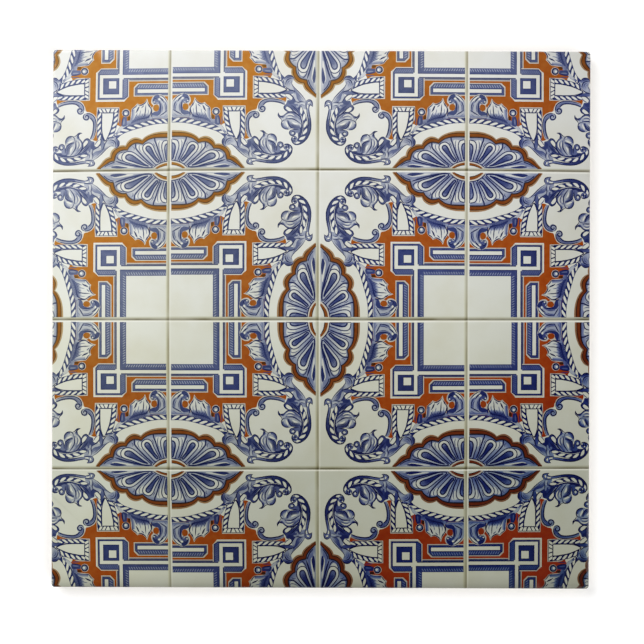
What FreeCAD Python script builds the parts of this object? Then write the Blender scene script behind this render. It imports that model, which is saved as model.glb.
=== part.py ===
"""A square dust-pressed ceramic wall tile with a flat decorated face, lying face up on its back.

The tile is one fired piece: a square slab with small rounded corners, a rounded arris round the glazed
face, a bevel round the back so that neighbours touch only near the face, and a back that is keyed for
adhesive by a grid of shallow drafted pockets between flat ribs. Units are millimetres. +Z is the normal
of the glazed face, +X runs to the right of its picture and +Y to the picture's top. The origin is the
middle of the back, on the plane of its ribs.
"""

import FreeCAD
import Part
import Sketcher
import os

# Driving dimensions in millimetres and degrees, by the alias that the features read
DIMENSIONS = {
    "side": 152.0,
    "thickness": 6.0,
    "face_corner_radius": 0.3,
    "arris_radius": 0.6,
    "bevel_setback": 0.8,
    "bevel_height": 2.2,
    "back_rim": 5.0,
    "rib_width": 2.6,
    "pockets_per_side": 10,
    "pocket_depth": 0.8,
    "draft_angle": 20.0,
}
# Sizes worked out from the driving dimensions
DERIVED = {
    "corner_radius": "=face_corner_radius + arris_radius",
    "back_side": "=side - 2 * bevel_setback",
    "keyed_width": "=back_side - 2 * back_rim",
    "pocket_size": "=(keyed_width - (pockets_per_side - 1) * rib_width) / pockets_per_side",
    "pattern_span": "=(pocket_size + rib_width) * (pockets_per_side - 1)",
    "first_pocket": "=-pattern_span / 2",
}
SHEET_NAME = "Dimensions"
PARTS_FOLDER = "parts"
SAME_LEVEL = 1e-5
START, END = 1, 2
SKETCH_ORIGIN = -1


def make_sheet(doc):
    """The spreadsheet of driving dimensions, with the sizes worked out from them below."""
    sheet = doc.addObject("Spreadsheet::Sheet", SHEET_NAME)
    contents = {alias: str(value) for alias, value in DIMENSIONS.items()} | DERIVED
    for row, (alias, content) in enumerate(contents.items(), start=1):
        sheet.set(f"A{row}", alias)
        sheet.set(f"B{row}", content)
        sheet.setAlias(f"B{row}", alias)
    doc.recompute()


def from_sheet(expression):
    """An expression with its sheet aliases, each marked with a $, written out for use elsewhere."""
    return expression.replace("$", f"{SHEET_NAME}.")


def value_of(feature, expression):
    """The present value of an expression in the sheet's aliases."""
    return float(feature.evalExpression(from_sheet(expression)))


def bind(feature, expressions):
    """Binds properties of a feature to expressions in the sheet's aliases."""
    for name, expression in expressions.items():
        feature.setExpression(name, from_sheet(expression))


def origin_feature(body, role):
    """One of the body's own origin planes or axes."""
    return next(item for item in body.Origin.OriginFeatures if item.Role == role)


def square_sketch(body, name, size, centre="0", level="0", radius=None):
    """A square sketch parallel to the XY plane at a level, with rounded corners where a radius is given.
    Its size, its radius and its centre, as far along X as along Y, are bound to expressions."""
    sketch = body.newObject("Sketcher::SketchObject", name)
    sketch.AttachmentSupport = [(origin_feature(body, "XY_Plane"), "")]
    sketch.MapMode = "FlatFace"
    bind(sketch, {"AttachmentOffset.Base.z": level})

    far_side = f"{centre} + {size} / 2"
    width, far = (value_of(sketch, expression) for expression in (size, far_side))
    near = far - width
    corners = [FreeCAD.Vector(x, y) for x, y in ((near, near), (far, near), (far, far), (near, far))]
    bottom, right, top, left = (
        sketch.addGeometry(Part.LineSegment(corner, corners[(number + 1) % len(corners)]))
        for number, corner in enumerate(corners)
    )
    for line, next_line in ((bottom, right), (right, top), (top, left), (left, bottom)):
        sketch.addConstraint(Sketcher.Constraint("Coincident", line, END, next_line, START))
    for direction, lines in (("Horizontal", (bottom, top)), ("Vertical", (right, left))):
        for line in lines:
            sketch.addConstraint(Sketcher.Constraint(direction, line))
    sizes = {
        "Width": (size, Sketcher.Constraint("DistanceX", left, START, right, START, width)),
        "Height": (size, Sketcher.Constraint("DistanceY", bottom, START, top, START, width)),
        "RightSide": (far_side, Sketcher.Constraint("DistanceX", SKETCH_ORIGIN, START, right, START, far)),
        "TopSide": (far_side, Sketcher.Constraint("DistanceY", SKETCH_ORIGIN, START, top, START, far)),
    }
    if radius:
        rounding = value_of(sketch, radius)
        for line in (bottom, right, top, left):
            sketch.fillet(line, END, rounding, True, False)
        first_arc, *other_arcs = range(left + 1, sketch.GeometryCount)
        for arc in other_arcs:
            sketch.addConstraint(Sketcher.Constraint("Equal", first_arc, arc))
        sizes["Radius"] = (radius, Sketcher.Constraint("Radius", first_arc, rounding))
    for label, (expression, constraint) in sizes.items():
        sketch.renameConstraint(sketch.addConstraint(constraint), label)
        bind(sketch, {f"Constraints.{label}": expression})
    return sketch


def make_slab(doc, body):
    """The slab: a bevelled back lofted out to the full outline, then padded up to a face with an arris."""
    back_outline = square_sketch(body, "BackOutline", "$back_side", radius="$corner_radius")
    face_outline = square_sketch(
        body, "FaceOutline", "$side", level="$bevel_height", radius="$corner_radius"
    )
    doc.recompute()
    bevel = body.newObject("PartDesign::AdditiveLoft", "BevelledBack")
    bevel.Profile = back_outline
    bevel.Sections = [face_outline]
    bevel.Ruled = True
    slab = body.newObject("PartDesign::Pad", "Slab")
    slab.Profile = face_outline
    bind(slab, {"Length": "$thickness - $bevel_height"})
    doc.recompute()

    face_level = slab.Shape.BoundBox.ZMax
    face_edges = [
        f"Edge{number}"
        for number, edge in enumerate(slab.Shape.Edges, start=1)
        if edge.BoundBox.ZMin > face_level - SAME_LEVEL
    ]
    arris = body.newObject("PartDesign::Fillet", "FaceArris")
    arris.Base = (slab, face_edges)
    bind(arris, {"Radius": "$arris_radius"})
    doc.recompute()


def make_keyed_back(doc, body):
    """The grid of drafted pockets in the back, narrowing inwards, that lets adhesive grip it."""
    pocket = body.newObject("PartDesign::Pocket", "KeyPocket")
    pocket.Profile = square_sketch(body, "PocketOutline", "$pocket_size", centre="$first_pocket")
    pocket.Reversed = True
    bind(pocket, {"Length": "$pocket_depth", "TaperAngle": "-$draft_angle"})
    doc.recompute()

    grid = body.newObject("PartDesign::LinearPattern", "PocketGrid")
    grid.Originals = [pocket]
    grid.Direction = (origin_feature(body, "X_Axis"), [""])
    grid.Direction2 = (origin_feature(body, "Y_Axis"), [""])
    bind(grid, {"Length": "$pattern_span", "Occurrences": "$pockets_per_side"})
    bind(grid, {"Length2": "$pattern_span", "Occurrences2": "$pockets_per_side"})
    body.Tip = grid
    doc.recompute()


def check(doc, body):
    """Stops the build if any object failed or if the body's solid is missing or faulty."""
    failed = [item.Name for item in doc.Objects if {"Invalid", "Error"} & set(item.State)]
    if failed:
        raise RuntimeError(f"failed objects: {', '.join(failed)}")
    if body.Shape.isNull() or not body.Shape.isValid():
        raise RuntimeError(f"faulty solid: {body.Label}")


doc = FreeCAD.newDocument("Tile")
make_sheet(doc)
tile = doc.addObject("PartDesign::Body", "Tile")
tile.Label = "tile"
make_slab(doc, tile)
make_keyed_back(doc, tile)
check(doc, tile)
os.makedirs(PARTS_FOLDER, exist_ok=True)
tile.Shape.exportStep(os.path.join(PARTS_FOLDER, f"{tile.Label}.step"))
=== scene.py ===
import math

import bmesh
import bpy
import numpy as np
from mathutils.geometry import delaunay_2d_cdt
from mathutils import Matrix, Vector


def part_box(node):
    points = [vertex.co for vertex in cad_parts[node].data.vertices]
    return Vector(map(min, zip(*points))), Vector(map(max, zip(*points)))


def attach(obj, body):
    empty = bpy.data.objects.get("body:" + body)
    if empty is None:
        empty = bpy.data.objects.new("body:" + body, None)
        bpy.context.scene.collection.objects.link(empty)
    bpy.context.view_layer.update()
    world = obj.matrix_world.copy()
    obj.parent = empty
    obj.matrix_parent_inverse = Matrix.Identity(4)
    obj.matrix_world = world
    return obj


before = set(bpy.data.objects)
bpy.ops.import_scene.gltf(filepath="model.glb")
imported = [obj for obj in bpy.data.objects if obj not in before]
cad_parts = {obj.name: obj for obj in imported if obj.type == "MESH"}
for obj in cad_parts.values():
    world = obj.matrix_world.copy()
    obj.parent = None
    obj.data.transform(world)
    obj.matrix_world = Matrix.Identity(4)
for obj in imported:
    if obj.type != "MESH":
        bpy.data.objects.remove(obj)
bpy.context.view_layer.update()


# Tile body
# One pressed slab of white earthenware with a keyed back, fired and then glazed from the face side.
# The glaze runs over the arris and part of the way down the edges, and the bevel and back stay bare.
MM = 0.001
high_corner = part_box("tile")[1]
half_side = high_corner.x / MM
face_height = high_corner.z / MM
GLAZE_LINE = 3.1
GLAZE_WAVE = 0.45
GLAZE_FEATHER = 0.12
GLAZE_THINS_OVER = 1.1


def linear(hex_colour):
    """An sRGB hex colour as the linear colour that a socket takes."""
    levels = [int(hex_colour[k:k + 2], 16) / 255 for k in (1, 3, 5)]
    return (*[v / 12.92 if v <= 0.04045 else ((v + 0.055) / 1.055) ** 2.4 for v in levels], 1.0)


def feed(node, inputs):
    """Gives inputs of a node their values. A node as a value stands for the first output it uses."""
    for name, value in inputs.items():
        if isinstance(value, bpy.types.Node):
            value = next(output for output in value.outputs if output.enabled)
        if isinstance(value, bpy.types.NodeSocket):
            node.id_data.links.new(value, node.inputs[name])
        else:
            node.inputs[name].default_value = value


def add(tree, kind, inputs=None, stops=(), **settings):
    """Adds a node with its settings and its inputs, and a colour ramp also with its stops."""
    made = tree.nodes.new("ShaderNode" + kind)
    for name, value in settings.items():
        setattr(made, name, value)
    feed(made, inputs or {})
    if stops:
        marks = made.color_ramp.elements
        marks.remove(marks[1])
        for mark, (position, hex_colour) in zip([marks[0], *[marks.new(1) for _ in stops[1:]]], stops):
            mark.position = position
            mark.color = linear(hex_colour)
    return made


# Glazed earthenware: a glassy white coat that thins to a wavy, slightly warm edge on the cream biscuit,
# which is dry, finely grained and speckled. The grain is drawn coarser than it is, so that it shows.
WAVE_SIZE = 14
BLOTCH_SIZE = 22
GRAIN_SIZE = 0.7
SPECK_SPACING = 2.6
earthenware = bpy.data.materials.new("glazed_earthenware")
earthenware.use_nodes = True
tree = earthenware.node_tree
surface = tree.nodes["Principled BSDF"]
place = add(tree, "TexCoord").outputs["Object"]
height = add(tree, "SeparateXYZ", {"Vector": place}).outputs["Z"]
waves = add(tree, "TexNoise", {"Vector": place, "Scale": 1 / (WAVE_SIZE * MM), "Detail": 3.0})
runs = add(tree, "MapRange", {
    "Value": waves, "From Min": 0.3, "From Max": 0.7,
    "To Min": -GLAZE_WAVE * MM, "To Max": GLAZE_WAVE * MM,
})
level = add(tree, "Math", {0: height, 1: runs}, operation="ADD")
coat = add(tree, "MapRange", {
    "Value": level, "From Min": (GLAZE_LINE - GLAZE_FEATHER) * MM,
    "From Max": (GLAZE_LINE + GLAZE_FEATHER) * MM,
})
thin = add(tree, "MapRange", {
    "Value": level, "From Min": GLAZE_LINE * MM, "From Max": (GLAZE_LINE + GLAZE_THINS_OVER) * MM,
})
blotches = add(tree, "TexNoise", {"Vector": place, "Scale": 1 / (BLOTCH_SIZE * MM), "Detail": 4.0})
grain = add(tree, "TexNoise", {"Vector": place, "Scale": 1 / (GRAIN_SIZE * MM), "Detail": 3.0})
specks = add(tree, "TexVoronoi", {"Vector": place, "Scale": 1 / (SPECK_SPACING * MM)})
biscuit = add(tree, "Mix", {0: blotches, 6: linear("#D9CBB4"), 7: linear("#EADFCD")}, data_type="RGBA")
grained = add(tree, "Mix", {
    0: 0.35, 6: biscuit, 7: add(tree, "MapRange", {
        "Value": grain, "From Min": 0.3, "From Max": 0.7, "To Min": 0.72, "To Max": 1.0,
    }),
}, data_type="RGBA", blend_type="MULTIPLY")
speckle = add(tree, "MapRange", {"Value": specks, "From Min": 0.07, "From Max": 0.13})
speckled = add(tree, "Mix", {0: speckle, 6: linear("#B49F80"), 7: grained}, data_type="RGBA")
glaze = add(tree, "Mix", {0: thin, 6: linear("#E2DBC8"), 7: linear("#EDECE4")}, data_type="RGBA")
colour = add(tree, "Mix", {0: coat, 6: speckled, 7: glaze}, data_type="RGBA")
finish = add(tree, "MapRange", {"Value": coat, "To Min": 0.86, "To Max": 0.14})
dryness = add(tree, "MapRange", {"Value": coat, "To Min": 0.06 * MM, "To Max": 0.004 * MM})
relief = add(tree, "Math", {0: grain, 1: dryness}, operation="MULTIPLY")
bump = add(tree, "Bump", {"Height": relief, "Strength": 0.8, "Distance": 1.0})
feed(surface, {"Base Color": colour, "Roughness": finish, "IOR": 1.5, "Normal": bump})

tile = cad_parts["tile"]
tile.data.materials.clear()
tile.data.materials.append(earthenware)


# Ochre ground
# The print shows a wall of azulejos: square tiles, each mirrored in its neighbours and about its own
# diagonal, so half of one is drawn, in mm from the middle of a strapwork frame. Each flat shape keeps
# its ink, as amounts of cobalt and of ochre, and a later shape covers the ones before it.
PITCH = 42.0
EDGE = 0.7
drawing = []
WHITE = (0.0, 0.0)
HALO = (0.05, 0.06)
OCHRE = (0.0, 1.0)


def paint(outline, *inks):
    """Adds one shape, in one ink or in an ink for each of its points."""
    outline = np.array(outline, float)
    inks = np.array(inks if len(inks) > 1 else inks * len(outline), float)
    middle = outline.mean(axis=0)
    terms = np.column_stack([np.ones(len(outline)), outline - middle])
    blend = np.linalg.lstsq(terms, inks, rcond=None)[0]
    drawing.append((outline, middle, blend))


paint([(0, 0), (PITCH, PITCH), (0, PITCH)], WHITE)
paint([
    (EDGE, 16.0), (12.4, 16.0), (12.4, 20.4), (13.6, 21.8), (22.0, 21.8), (24.2, 24.1), (24.5, 24.6),
    (23.4, 24.8), (22.5, 25.25), (21.8, 26.1), (21.3, 27.6), (15.2, 28.6), (14.6, 29.0), (13.4, 28.3),
    (9.0, 27.4), (EDGE, 26.6),
], OCHRE)


# Strapwork frame
# Ruled white straps with dark shaded sides, as if cut from board: an inner frame, a short bar along
# each side and a stepped box on the diagonal. The dark sides are hatched by hand, here a little coarser
# than on the real tile, so that it shows.
HATCH_PITCH = 0.7
for low, high, ink in (
    (12.42, 14.2, (0.66, 0)), (12.42, 12.64, (0.72, 0)), (13.42, 13.64, (0.72, 0)),
    (13.92, 14.2, (0.9, 0)),
):
    paint([(EDGE, low), (low, low), (high, high), (EDGE, high)], ink)
for x in np.arange(EDGE, 12.0, HATCH_PITCH):
    paint([(x, 12.66), (x + 0.24, 12.66), (x + 0.66, 13.4), (x + 0.42, 13.4)], (0.26, 0))
for low, high, ink in ((15.12, 15.4, (0.84, 0.05)), (15.4, 15.84, (0.56, 0.1)), (15.84, 16.08, HALO)):
    paint([(EDGE, low), (13.9, low), (13.9, high), (EDGE, high)], ink)
for low, high, end, ink in (
    (16.62, 20.4, 10.95, HALO), (16.86, 20.14, 10.66, (0.68, 0.08)), (17.14, 19.94, 10.4, (0.66, 0)),
):
    paint([(EDGE, low), (end - 1.15, low), (end, low + 1.15), (end, high), (EDGE, high)], ink)
for x in np.arange(EDGE, 9.2, HATCH_PITCH):
    paint([(x, 17.2), (x + 0.24, 17.2), (x + 0.7, 18.0), (x + 0.46, 18.0)], (0.28, 0))
for low, high, end, ink in ((18.1, 19.68, 10.12, (0.88, 0)), (18.4, 19.4, 9.86, WHITE)):
    paint([(EDGE, low), (end, low), (end, high), (EDGE, high)], ink)
for left, top, ink in ((12.32, 21.5, HALO), (12.58, 21.24, (0.88, 0))):
    paint([(left, 15.5), (left, 20.4), (left + 1.1, top), (22, top), (22, 15.5)], ink)
paint([(12.88, 15.4), (12.88, 20.2), (13.9, 20.95), (13.9, 15.4)], (0.52, 0))
for y in np.arange(15.6, 20.3, 0.6):
    paint([(12.95, y), (12.95, y + 0.2), (13.8, y + 0.75), (13.8, y + 0.55)], (0.72, 0))
for inset, outset, ink in (
    (14.2, 20.7, WHITE), (15.13, 19.74, (0.95, 0)), (15.4, 19.46, (0.74, 0)), (15.7, 18.34, (0.95, 0)),
    (15.97, 18.08, WHITE),
):
    paint([(inset, inset), (inset, outset), (outset, outset), (outset, inset)], ink)
for y in (18.6, 18.95, 19.25):
    paint([(15.5, y), (15.5, y + 0.12), (19.3, y + 0.12), (19.3, y)], (0.95, 0))


# Fan
# A fluted half fan on each joint: an ochre scalloped rim, white petals with a long dark drop in each,
# shaded flutes between them and a small ochre core. Brush lines swell in the middle, and washes fade.
TINT = (0.11, 0.0)
PALE = (0.26, 0.0)
HALF = (0.46, 0.0)
DEEP = (0.8, 0.0)
LINE = (1.15, 0.02)


def smooth(points, closed=False, steps=4):
    """Points along a smooth curve through the given ones. A point given twice is a sharp corner."""
    given = np.array(points, float)
    count = len(given)
    before = given[[(i - 1) % count if closed else max(i - 1, 0) for i in range(count)]]
    after = given[[(i + 1) % count if closed else min(i + 1, count - 1) for i in range(count)]]
    heading = (after - before) / 2
    curve = []
    for i in range(count if closed else count - 1):
        start, end = given[i], given[(i + 1) % count]
        span = np.hypot(*(end - start))
        if span == 0:
            continue
        pulls = [h * min(1, span / max(np.hypot(*h), 1e-9)) for h in (heading[i], heading[(i + 1) % count])]
        for u in np.arange(steps) / steps:
            curve.append(
                start * (1 + 2 * u) * (1 - u) ** 2 + end * u * u * (3 - 2 * u)
                + pulls[0] * u * (1 - u) ** 2 - pulls[1] * u * u * (1 - u)
            )
    if not closed:
        curve.append(given[-1])
    return np.array(curve)


def fill(points, ink, far_ink=None, towards=None):
    """A shape with a smooth outline, in one ink or fading to another towards a direction."""
    outline = smooth(points, True, 3)
    if far_ink is None:
        paint(outline, ink)
        return
    reach = outline @ np.array(towards, float)
    share = (reach - reach.min()) / np.ptp(reach)
    paint(outline, *(np.array(ink) + np.outer(share, np.array(far_ink) - np.array(ink))))


def ribbon(left, right, ink, right_ink=None):
    """A band between two edges, shaded from the left edge's ink to the right edge's."""
    right_ink = right_ink or ink
    for i in range(len(left) - 1):
        corners = np.array((left[i], left[i + 1], right[i + 1], right[i]))
        shades = np.array((ink, ink, right_ink, right_ink))
        turn = np.argsort(np.arctan2(*(corners - corners.mean(axis=0)).T[::-1]))
        paint(corners[turn], *shades[turn])


def edges(path, half_width):
    """The two edges of a line of the given half widths along a path."""
    heading = np.gradient(path, axis=0)
    heading /= np.hypot(*heading.T)[:, None]
    across = np.column_stack([-heading[:, 1], heading[:, 0]]) * half_width[:, None]
    return path + across, path - across


def stroke(points, width=0.26, ink=LINE, taper=(0.35, 0.35)):
    """A brush line, thinner over the given shares of its length at its two ends."""
    tip = 0.12
    fullness = 0.7
    path = smooth(points, steps=3)
    way = np.linspace(0, 1, len(path))
    swell = np.ones(len(path))
    for share, distance in zip(taper, (way, 1 - way)):
        if share:
            swell *= np.clip(distance / share, tip, 1) ** fullness
    ribbon(*edges(path, width / 2 * swell), ink)


def streaks(left, right, count, width=0.18, ink=DEEP):
    """Hatching: thin brush lines side by side between two edges, every other one cut short."""
    left, right = np.array(left, float), np.array(right, float)
    for k in range(count):
        share = (k + 0.5) / count
        path = left + (right - left) * share
        if k % 2:
            path[-1] = (path[-1] + path[-2]) / 2
        stroke(path, width, ink)


fan_outside = [
    (EDGE, 30.4), (3.1, 30.45), (5.1, 30.8), (6.7, 31.4), (7.7, 32.0), (8.35, 32.65), (8.35, 32.65),
    (9.3, 32.2), (10.4, 32.05), (11.5, 32.4), (12.5, 33.2), (13.1, 34.3), (13.1, 34.3),
    (14.2, 34.25), (15.4, 34.6), (16.5, 35.2), (17.3, 36.2), (17.6, 37.5), (17.6, 37.5),
    (18.6, 37.9), (19.5, 38.7), (20.4, 39.9), (21.3, 41.1),
]
fan_inside = [
    (EDGE, 32.2), (3.1, 32.2), (4.9, 32.3), (6.4, 32.7), (7.5, 33.4), (8.2, 34.05), (8.2, 34.05),
    (9.3, 33.8), (10.3, 33.8), (11.2, 34.2), (12.1, 35.0), (12.5, 35.7), (12.5, 35.7),
    (13.6, 35.7), (14.7, 36.05), (15.6, 36.8), (16.0, 37.8), (16.2, 38.8), (16.2, 38.8),
    (17.3, 39.0), (18.3, 39.6), (19.3, 40.4), (20.1, 41.1),
]
for share, ink in ((1, (0.12, 0.4)), (0.74, (0.6, 0.8)), (0.6, (0.16, 0.95)), (0.16, (0.7, 0.6))):
    edge = np.array(fan_outside) * share + np.array(fan_inside) * (1 - share)
    paint([*smooth(edge), (edge[-1][0], PITCH), (EDGE, PITCH)], ink)
paint([*smooth(fan_inside), (20.0, PITCH), (EDGE, PITCH)], (0.15, 0))
fan_core = np.array((2.0, 42.0))
flute_share = 0.84
flute_ends = fan_core + (np.array(fan_inside) - fan_core) * flute_share
ribbon(smooth(fan_inside, steps=3), smooth(flute_ends, steps=3), (0.36, 0), (0.1, 0))
for points, ink, far_ink, towards in (
    ([(1.4, 38.9), (2.4, 39.0), (3.1, 37.3), (3.4, 35.9), (2.5, 35.3), (2.1, 36.7)], (0.4, 0), (0.12, 0),
     (0.3, -1)),
    ([(2.6, 39.1), (3.4, 38.7), (4.5, 37.1), (5.3, 35.3), (4.7, 34.3), (4.2, 34.5), (3.5, 36.6)],
     (0.42, 0), (0.12, 0), (0.3, -1)),
    ([(4.0, 40.1), (5.0, 40.3), (7.4, 38.1), (9.1, 36.3), (8.5, 35.5), (7.7, 36.1), (5.7, 38.3)],
     (0.38, 0), (0.12, 0), (0.7, -0.7)),
    ([(5.1, 40.6), (6.5, 40.3), (8.3, 38.9), (10.1, 37.5), (11.1, 36.3), (10.3, 35.6), (8.7, 37.0),
      (6.7, 38.9)], (0.42, 0), (0.12, 0), (0.8, -0.6)),
    ([(5.3, 41.0), (8.6, 40.7), (12.1, 39.9), (15.5, 38.9), (15.9, 38.1), (14.7, 38.5), (12.7, 38.9),
      (9.6, 39.8), (6.7, 40.7)], (0.5, 0), (0.28, 0), (1, -0.2)),
    ([(5.3, 41.1), (9.1, 40.8), (12.6, 40.0), (16.3, 39.1), (17.9, 39.6), (18.9, 40.4), (17.1, 40.7),
      (13.1, 40.6), (9.1, 41.1)], (0.5, 0), (0.32, 0), (1, 0)),
):
    fill(points, ink, far_ink, towards)
for points in (
    [(2.2, 35.3), (3.3, 35.5), (3.9, 34.3), (4.1, 33.1), (2.9, 33.0), (2.0, 33.7)],
    [(7.8, 36.3), (8.7, 36.1), (9.8, 35.1), (9.8, 34.3), (8.7, 34.3), (7.9, 34.9)],
    [(13.6, 38.4), (14.8, 38.0), (15.1, 37.4), (14.5, 36.6), (13.4, 36.4), (13.7, 37.3)],
    [(10.5, 40.8), (13.1, 40.3), (15.7, 40.0), (16.7, 40.4), (14.5, 40.6), (11.7, 41.0)],
):
    fill(points, (0.04, 0))
for petal, outward in (
    ([(EDGE, 39.0), (EDGE, 39.0), (1.6, 38.9), (2.0, 37.6), (2.45, 36.3), (2.75, 35.0), (2.6, 33.8),
      (2.0, 33.15), (EDGE, 32.95), (EDGE, 32.95)], (0, -1)),
    ([(2.9, 39.1), (3.5, 38.0), (4.1, 36.9), (4.6, 35.9), (5.0, 34.9), (5.5, 34.1), (6.4, 33.65),
      (7.4, 33.9), (8.1, 34.6), (8.15, 35.5), (7.7, 36.4), (6.7, 37.5), (5.6, 38.7), (4.4, 39.9),
      (3.7, 39.9)], (0.6, -0.8)),
    ([(5.3, 40.7), (7.0, 39.3), (8.5, 38.1), (9.8, 37.0), (11.0, 36.25), (12.2, 36.05), (13.3, 36.35),
      (14.05, 37.2), (14.0, 38.4), (13.0, 39.1), (11.3, 39.6), (9.6, 40.2), (7.8, 40.8), (6.3, 41.1)],
     (0.9, -0.4)),
):
    fill(petal, (0.22, 0), (0.0, 0), outward)
    stroke(petal + petal[:1], 0.28, LINE, (0, 0))
for drop, left, right, count in (
    ([(EDGE, 38.5), (EDGE, 38.5), (1.1, 38.4), (1.3, 37.6), (1.55, 36.6), (1.7, 35.5), (1.6, 34.6),
      (1.2, 34.1), (EDGE, 34.0), (EDGE, 34.0)], [(0.9, 38.2), (0.9, 36.3), (0.9, 34.6)],
     [(1.15, 38.1), (1.5, 36.3), (1.4, 34.8)], 2),
    ([(3.4, 38.9), (3.8, 39.2), (4.5, 38.6), (5.5, 37.5), (6.4, 36.5), (7.1, 35.7), (7.25, 35.1),
      (6.9, 34.65), (6.4, 34.6), (5.9, 35.0), (5.5, 35.7), (5.1, 36.5), (4.6, 37.4), (3.9, 38.3)],
     [(3.7, 38.6), (4.9, 36.9), (5.8, 35.3), (6.3, 34.8)],
     [(4.3, 38.7), (5.6, 37.3), (6.9, 35.7), (7.0, 35.1)], 5),
    ([(6.4, 40.5), (7.6, 39.8), (8.9, 38.8), (10.1, 37.9), (11.1, 37.2), (12.0, 36.95), (12.7, 37.15),
      (13.0, 37.7), (12.8, 38.2), (12.0, 38.6), (10.9, 38.95), (9.5, 39.5), (8.0, 40.1)],
     [(7.0, 40.1), (8.9, 39.0), (10.9, 37.6), (12.2, 37.2)],
     [(7.4, 40.2), (9.6, 39.3), (11.7, 38.5), (12.8, 37.8)], 5),
):
    fill(drop, (0.36, 0))
    streaks(left, right, count, 0.2, (0.76, 0))
    stroke(drop + drop[:1], 0.38, LINE, (0, 0))
fill([(12.4, 40.95), (14.3, 40.5), (15.9, 40.25), (17.2, 40.8), (15.9, 41.15), (14.1, 41.2)], (0.95, 0))
for points, width, ink, taper in (
    ([(2.4, 39.1), (3.0, 37.7), (3.55, 36.3), (4.05, 34.8), (4.4, 33.8), (4.7, 33.1), (4.8, 32.4)], 0.4,
     LINE, (0.1, 0)),
    ([(4.8, 40.6), (6.1, 39.4), (7.3, 38.3), (8.5, 37.1), (9.6, 35.9), (10.15, 35.1), (10.2, 33.9)], 0.4,
     LINE, (0.1, 0)),
    ([(5.0, 41.0), (7.1, 41.0), (8.9, 40.7), (10.6, 40.3), (12.3, 39.9), (14.0, 39.4), (15.9, 38.8)],
     0.46, LINE, (0.1, 0.1)),
    ([(13.1, 39.0), (14.3, 38.65), (15.25, 38.1), (15.5, 37.4), (15.0, 36.7), (14.1, 36.3), (13.1, 36.1)],
     0.3, LINE, (0.2, 0.2)),
    ([(16.1, 39.1), (17.1, 39.4), (18.1, 39.9), (19.1, 40.7)], 0.3, LINE, (0.1, 0.1)),
    ([(15.8, 38.6), (15.75, 37.7), (15.2, 36.9), (14.4, 36.4)], 0.3, HALF, (0.2, 0.3)),
    (fan_inside, 0.24, (0.8, 0.4), (0, 0)),
):
    stroke(points, width, ink, taper)
for points in (
    [(3.2, 36.6), (3.5, 35.2), (3.6, 33.9), (3.3, 33.0)], [(5.3, 33.6), (4.9, 34.2), (4.55, 35.0)],
    [(8.5, 36.4), (9.1, 35.5), (9.2, 34.6), (8.8, 34.1)], [(10.7, 35.9), (10.6, 35.1), (11.1, 34.6)],
):
    stroke(points, 0.22, DEEP)
for points, ink in (
    ([(EDGE, 38.9), (2.3, 39.2), (3.7, 39.8), (4.8, 40.7), (4.9, PITCH)], HALO),
    ([(EDGE, 39.4), (1.9, 39.6), (3.1, 40.1), (4.4, 41.1), (4.4, PITCH)], (0.16, 0.85)),
    ([(EDGE, 40.3), (1.9, 40.5), (2.9, 40.85), (3.7, 41.35), (3.7, PITCH)], (0.02, 0)),
):
    paint([*smooth(points), (EDGE, PITCH)], ink)
stroke([(EDGE, 38.9), (2.3, 39.2), (3.7, 39.8), (5.0, 40.9)], 0.28, LINE, (0, 0))
stroke([(EDGE, 40.25), (1.9, 40.45), (2.9, 40.8), (4.0, 41.4)], 0.24, (0.6, 0.6), (0, 0.3))


# Garland
# A twisted rope that sags below the fan, with a leaf, a ball and a curl that hang from it over the
# ochre. The rope is a dark band with pale strands laid across it, which leave dark gaps.
def shade(left, right, ink, right_ink):
    """A wash between two smooth edges, from the left edge's ink to the right edge's."""
    ribbon(smooth(left, steps=3), smooth(right, steps=3), ink, right_ink)


def rope(points, width, pitch, lean, first, strand_gap=0.82):
    """A twisted rope whose strands lean across it, the first one set in from its start."""
    path = smooth(points, steps=6)
    way = np.concatenate([[0], np.cumsum(np.hypot(*np.diff(path, axis=0).T))])
    left, right = edges(path, np.full(len(path), width / 2))
    ribbon(left, right, (0.95, 0))
    reach = 0.72
    length = pitch - strand_gap
    corner = 0.34 * length
    form = [
        (-corner - lean, -reach), (corner - lean, -reach), (0.5 * length, 0),
        (corner + lean, reach), (-corner + lean, reach), (-0.5 * length, 0),
    ]
    for strand in np.arange(first, way[-1] - pitch * 0.3, pitch) + pitch / 2:
        points = []
        for along, across in form:
            at = np.clip(strand + along, 0, way[-1])
            ends = [np.array([np.interp(at, way, edge[:, k]) for k in range(2)]) for edge in (right, left)]
            points.append(ends[0] + (ends[1] - ends[0]) * (1 + across) / 2)
        paint(smooth(points, True, 3), WHITE)


def spiral(centre, radius, start, turn, shrink, width):
    """A brush line that winds in towards a centre."""
    step = 40
    count = max(4, int(abs(turn) / step))
    points = []
    for k in range(count + 1):
        angle = math.radians(start + turn * k / count)
        reach = radius * (1 - (1 - shrink) * k / count)
        points.append((centre[0] + reach * math.cos(angle), centre[1] + reach * math.sin(angle)))
    stroke(points, width, LINE, (0.2, 0.3))


def ball(centre, radius, ink):
    """A round spot."""
    step = 36
    turn = np.radians(np.arange(0, 360, step))
    paint(np.array(centre) + radius * np.column_stack([np.cos(turn), np.sin(turn)]), ink)


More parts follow.
